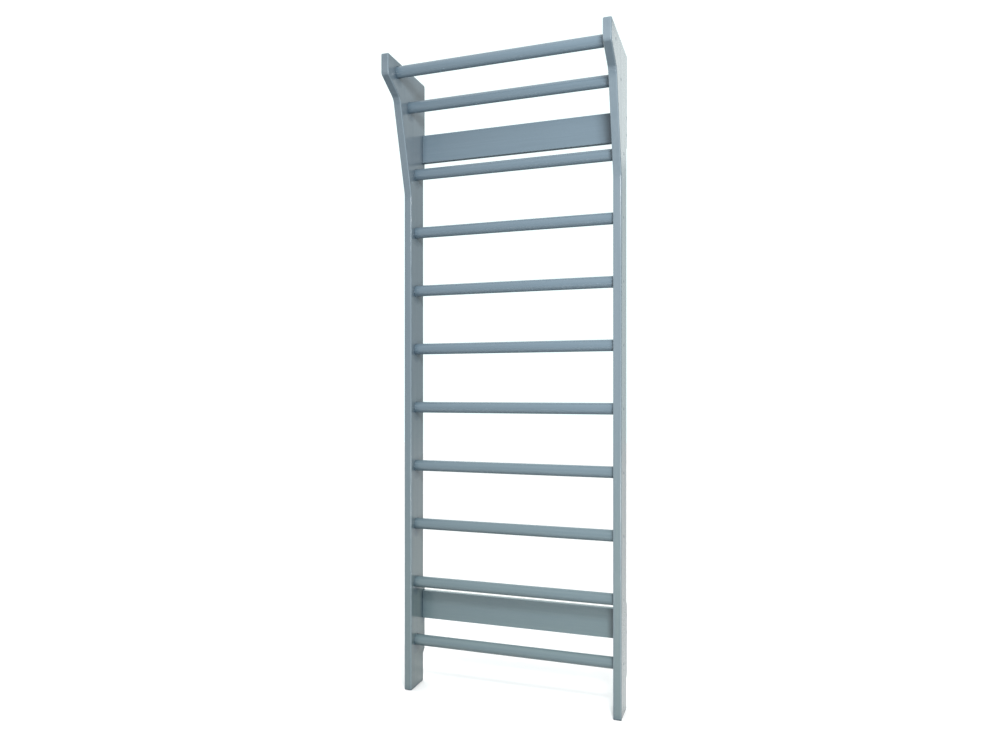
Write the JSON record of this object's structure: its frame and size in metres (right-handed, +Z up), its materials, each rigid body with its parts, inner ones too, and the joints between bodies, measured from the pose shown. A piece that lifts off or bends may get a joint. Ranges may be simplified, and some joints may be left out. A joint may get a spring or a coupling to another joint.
{
  "type": "swedish wall bars",
  "caption": "Tall ladder of round wooden rungs between two shaped uprights with forward horns at the top, lying on a wall by two cross boards, for stretching and climbing exercises.",
  "frame": {"origin": "on the floor, below the middle of the bounding box", "axes": "+X along the rungs, +Y towards the wall, +Z up"},
  "size_m": [0.808, 0.323, 2.304],
  "materials": {
    "painted_wood": "solid wood under opaque blue-grey paint, satin",
    "painted_screw": "steel furniture screw, head painted over with the wood"
  },
  "bodies": {
    "root": {"left_upright": "painted_wood", "right_upright": "painted_wood", "rung_01": "painted_wood", "rung_02": "painted_wood", "rung_03": "painted_wood", "rung_04": "painted_wood", "rung_05": "painted_wood", "rung_06": "painted_wood", "rung_07": "painted_wood", "rung_08": "painted_wood", "rung_09": "painted_wood", "rung_10": "painted_wood", "rung_11": "painted_wood", "lower_wall_board": "painted_wood", "upper_wall_board": "painted_wood", "left_rung_screw_01": "painted_screw", "right_rung_screw_01": "painted_screw", "left_rung_screw_02": "painted_screw", "right_rung_screw_02": "painted_screw", "left_rung_screw_03": "painted_screw", "right_rung_screw_03": "painted_screw", "left_rung_screw_04": "painted_screw", "right_rung_screw_04": "painted_screw", "left_rung_screw_05": "painted_screw", "right_rung_screw_05": "painted_screw", "left_rung_screw_06": "painted_screw", "right_rung_screw_06": "painted_screw", "left_rung_screw_07": "painted_screw", "right_rung_screw_07": "painted_screw", "left_rung_screw_08": "painted_screw", "right_rung_screw_08": "painted_screw", "left_rung_screw_09": "painted_screw", "right_rung_screw_09": "painted_screw", "left_rung_screw_10": "painted_screw", "right_rung_screw_10": "painted_screw", "left_rung_screw_11": "painted_screw", "right_rung_screw_11": "painted_screw", "left_lower_board_screw_01": "painted_screw", "left_lower_board_screw_02": "painted_screw", "right_lower_board_screw_01": "painted_screw", "right_lower_board_screw_02": "painted_screw", "left_upper_board_screw_01": "painted_screw", "left_upper_board_screw_02": "painted_screw", "right_upper_board_screw_01": "painted_screw", "right_upper_board_screw_02": "painted_screw"}
  },
  "joints": []
}
